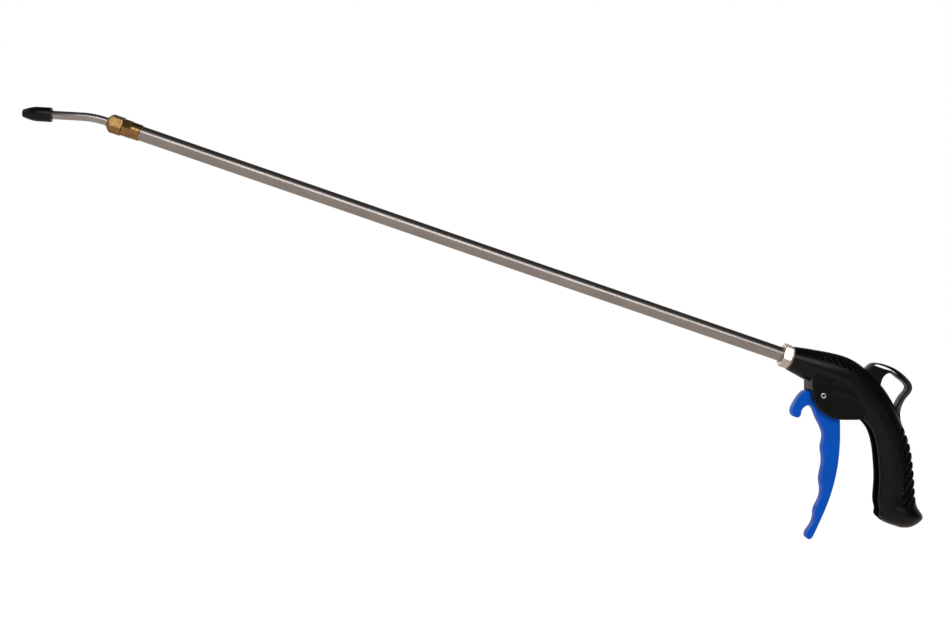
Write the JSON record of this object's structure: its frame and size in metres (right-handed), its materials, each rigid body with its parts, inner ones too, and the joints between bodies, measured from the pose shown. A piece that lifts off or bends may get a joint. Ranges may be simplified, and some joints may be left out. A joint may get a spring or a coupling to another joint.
{
  "type": "compressed air blow gun",
  "caption": "Pistol-grip air blow gun with a squeeze lever, hanging loop, long straight extension pipe and swivelling bent nozzle with a rubber tip.",
  "frame": {"origin": "centre of the air inlet's mouth at the foot of the grip", "axes": "-Z out of the air inlet, -X along the extension pipe towards the nozzle, Y across the gun"},
  "size_m": [0.7153, 0.0276, 0.1405],
  "materials": {
    "black_nylon": "satin, lightly polished moulding",
    "blue_nylon": "smooth moulding",
    "brushed_pipe": "brushed along its length",
    "nickel": "bright nickel plate",
    "fitting_brass": "machined",
    "nozzle_steel": "drawn",
    "black_rubber": "matt",
    "seal_rubber": "matt",
    "rivet_steel": "zinc plated",
    "spring_steel": "drawn wire",
    "washer_nylon": "natural"
  },
  "bodies": {
    "gun": {"gun_body": "black_nylon", "outlet_insert": "fitting_brass", "inlet_insert": "nickel", "valve_cartridge": "fitting_brass", "upper_cartridge_o_ring": "seal_rubber", "lower_cartridge_o_ring": "seal_rubber", "stem_o_ring": "seal_rubber", "valve_retainer": "fitting_brass", "pivot_pin": "rivet_steel", "barrel_nut": "nickel", "barrel_washer": "washer_nylon", "extension_pipe": "brushed_pipe", "connector_body": "fitting_brass", "valve_spring": "spring_steel"},
    "trigger_lever": {"trigger": "blue_nylon"},
    "valve_plunger": {"valve_stem": "fitting_brass", "poppet_seal": "seal_rubber", "poppet_nut": "fitting_brass"},
    "gland": {"gland_nut": "fitting_brass"},
    "nozzle": {"nozzle_tube": "nozzle_steel", "olive": "fitting_brass", "rubber_tip": "black_rubber"}
  },
  "joints": [
    {"name": "trigger_squeeze", "type": "hinge", "parent": "gun", "child": "trigger_lever", "pos_m": [-0.084, 0, 0.074], "axis": [0, -1, 0], "range_deg": [0, 22], "stiffness_Nm_per_rad": 0.18, "springref_deg": -16.04},
    {"name": "valve_stem_slide", "type": "slide", "parent": "gun", "child": "valve_plunger", "axis": [0, 0, 1], "range_m": [0, 0.0028], "deforming": ["valve_spring"]},
    {"name": "gland_nut_turn", "type": "hinge", "parent": "gun", "child": "gland", "pos_m": [-0.631, 0, 0.093], "axis": [-1, 0, 0], "range_deg": [0, 90]},
    {"name": "nozzle_swivel", "type": "hinge", "parent": "gun", "child": "nozzle", "pos_m": [-0.631, 0, 0.093], "axis": [-1, 0, 0], "continuous": true}
  ],
  "couplings": [
    {"joint": "valve_stem_slide", "follows": "trigger_squeeze", "m_per_rad": 0.007}
  ]
}
